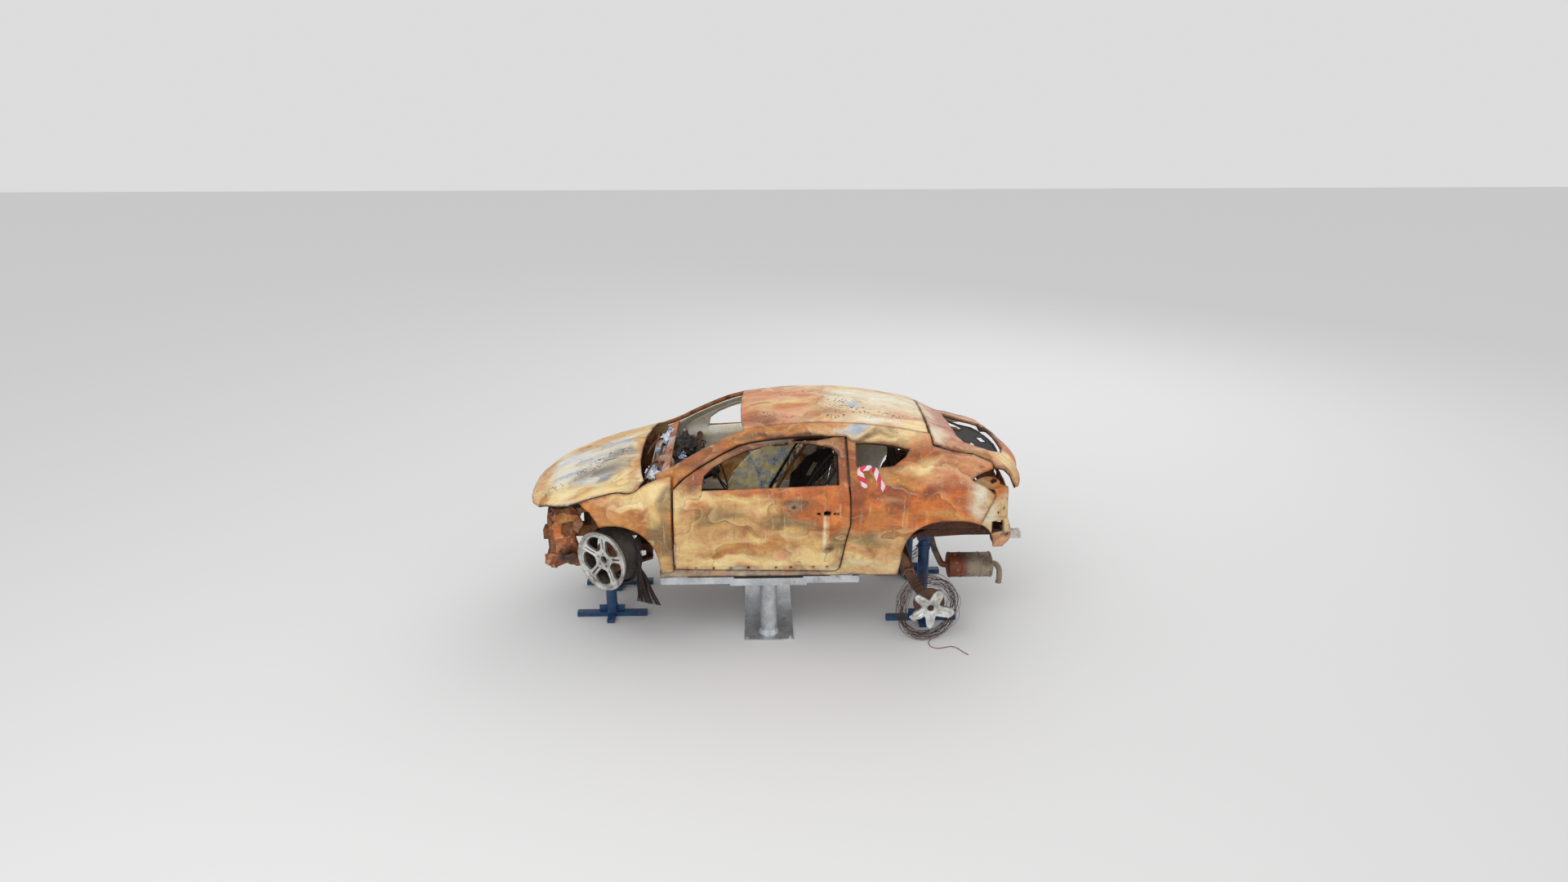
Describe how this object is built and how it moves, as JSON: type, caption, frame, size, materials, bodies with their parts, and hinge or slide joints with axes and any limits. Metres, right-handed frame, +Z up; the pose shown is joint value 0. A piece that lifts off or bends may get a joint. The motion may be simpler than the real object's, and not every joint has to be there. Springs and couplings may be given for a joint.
{
  "type": "burnt-out car wreck on a lift",
  "caption": "Burnt-out compact coupe without glass, bumpers or tyres, with hinged doors, bonnet and tailgate and steered front rims, raised on a floor lift and trestles.",
  "frame": {"origin": "on the floor under the lift's plate, on the car's centre line, a little ahead of the middle of the wheelbase", "axes": "+X towards the tail, +Y towards the car's right side, +Z up"},
  "size_m": [4.062, 2.0017, 1.8575],
  "materials": {
    "burnt_body": "burnt bare sheet with a film of orange rust",
    "scorched_cream": "paint burnt to cream and grey ash",
    "rusty_steel": "dry brown rust",
    "rusty_iron": "scaled and burnt",
    "bare_alloy": "dull, partly melted",
    "charred_wire": "charred steel cord",
    "soot_black": "matt soot",
    "ashen_steel": "matt ash",
    "galvanised": "galvanised, worn",
    "blue_paint": "satin workshop blue"
  },
  "bodies": {
    "wreck_on_stands": {"body_side_left": "burnt_body", "body_side_right": "burnt_body", "wing_left": "scorched_cream", "wing_right": "scorched_cream", "tail_corner_left": "scorched_cream", "tail_corner_right": "scorched_cream", "roof_panel": "burnt_body", "floor_pan": "rusty_steel", "boot_floor": "rusty_steel", "wheelhouse_left": "rusty_steel", "wheelhouse_right": "rusty_steel", "bulkhead": "burnt_body", "chassis_leg_left": "rusty_steel", "chassis_leg_right": "rusty_steel", "front_frame": "rusty_iron", "radiator": "rusty_iron", "engine_block": "rusty_iron", "subframe": "rusty_steel", "rear_axle": "rusty_iron", "wheel_rear_left": "bare_alloy", "wheel_rear_right": "bare_alloy", "tyre_wire_rear_left": "charred_wire", "tyre_wire_rear_right": "charred_wire", "silencer": "rusty_iron", "exhaust_pipe": "rusty_iron", "tail_panel": "burnt_body", "bumper_bracket_left": "bare_alloy", "bumper_bracket_right": "bare_alloy", "dash_bar": "soot_black", "seat_frame_left": "ashen_steel", "seat_frame_right": "ashen_steel", "rear_seat_frame": "soot_black", "lift_plate": "galvanised", "lift_arm_left": "galvanised", "lift_arm_right": "galvanised", "trestle_front_left": "blue_paint", "trestle_front_right": "blue_paint", "trestle_rear_left": "blue_paint", "trestle_rear_right": "blue_paint"},
    "door_left": {"door_left": "scorched_cream"},
    "door_right": {"door_right": "scorched_cream"},
    "bonnet": {"bonnet": "scorched_cream"},
    "tailgate": {"tailgate": "burnt_body"},
    "hub_left": {"knuckle_left": "rusty_iron", "tyre_wire_front_left": "charred_wire"},
    "hub_right": {"knuckle_right": "rusty_iron"},
    "front_wheel_left": {"wheel_front_left": "bare_alloy", "brake_disc_left": "rusty_steel"},
    "front_wheel_right": {"wheel_front_right": "bare_alloy", "brake_disc_right": "rusty_steel"}
  },
  "joints": [
    {"name": "door_left_hinge", "type": "hinge", "parent": "wreck_on_stands", "child": "door_left", "pos_m": [-0.763, -0.855, 1.02], "axis": [0, 0, -1], "range_deg": [0, 62]},
    {"name": "door_right_hinge", "type": "hinge", "parent": "wreck_on_stands", "child": "door_right", "pos_m": [-0.763, 0.855, 1.02], "axis": [0, 0, 1], "range_deg": [0, 62]},
    {"name": "bonnet_hinge", "type": "hinge", "parent": "wreck_on_stands", "child": "bonnet", "pos_m": [-1.115, 0, 1.385], "axis": [0, 1, 0], "range_deg": [0, 50]},
    {"name": "tailgate_hinge", "type": "hinge", "parent": "wreck_on_stands", "child": "tailgate", "pos_m": [1.243, 0, 1.734], "axis": [0, -1, 0], "range_deg": [0, 70]},
    {"name": "steer_left", "type": "hinge", "parent": "wreck_on_stands", "child": "hub_left", "pos_m": [-1.3, -0.715, 0.645], "axis": [0.0509, 0.1804, 0.9823], "range_deg": [0, 72]},
    {"name": "spin_front_left", "type": "hinge", "parent": "hub_left", "child": "front_wheel_left", "pos_m": [-1.3424, -0.75675, 0.79457], "axis": [0.5791, 0.8152, 0.0039], "continuous": true},
    {"name": "steer_right", "type": "hinge", "parent": "wreck_on_stands", "child": "hub_right", "pos_m": [-1.3, 0.715, 0.645], "axis": [0.0509, -0.1804, 0.9823], "range_deg": [0, 72]},
    {"name": "spin_front_right", "type": "hinge", "parent": "hub_right", "child": "front_wheel_right", "pos_m": [-1.24361, 0.75764, 0.78962], "axis": [0.5756, 0.8152, -0.0638], "continuous": true}
  ],
  "couplings": [
    {"joint": "steer_right", "follows": "steer_left", "ratio": 1}
  ]
}
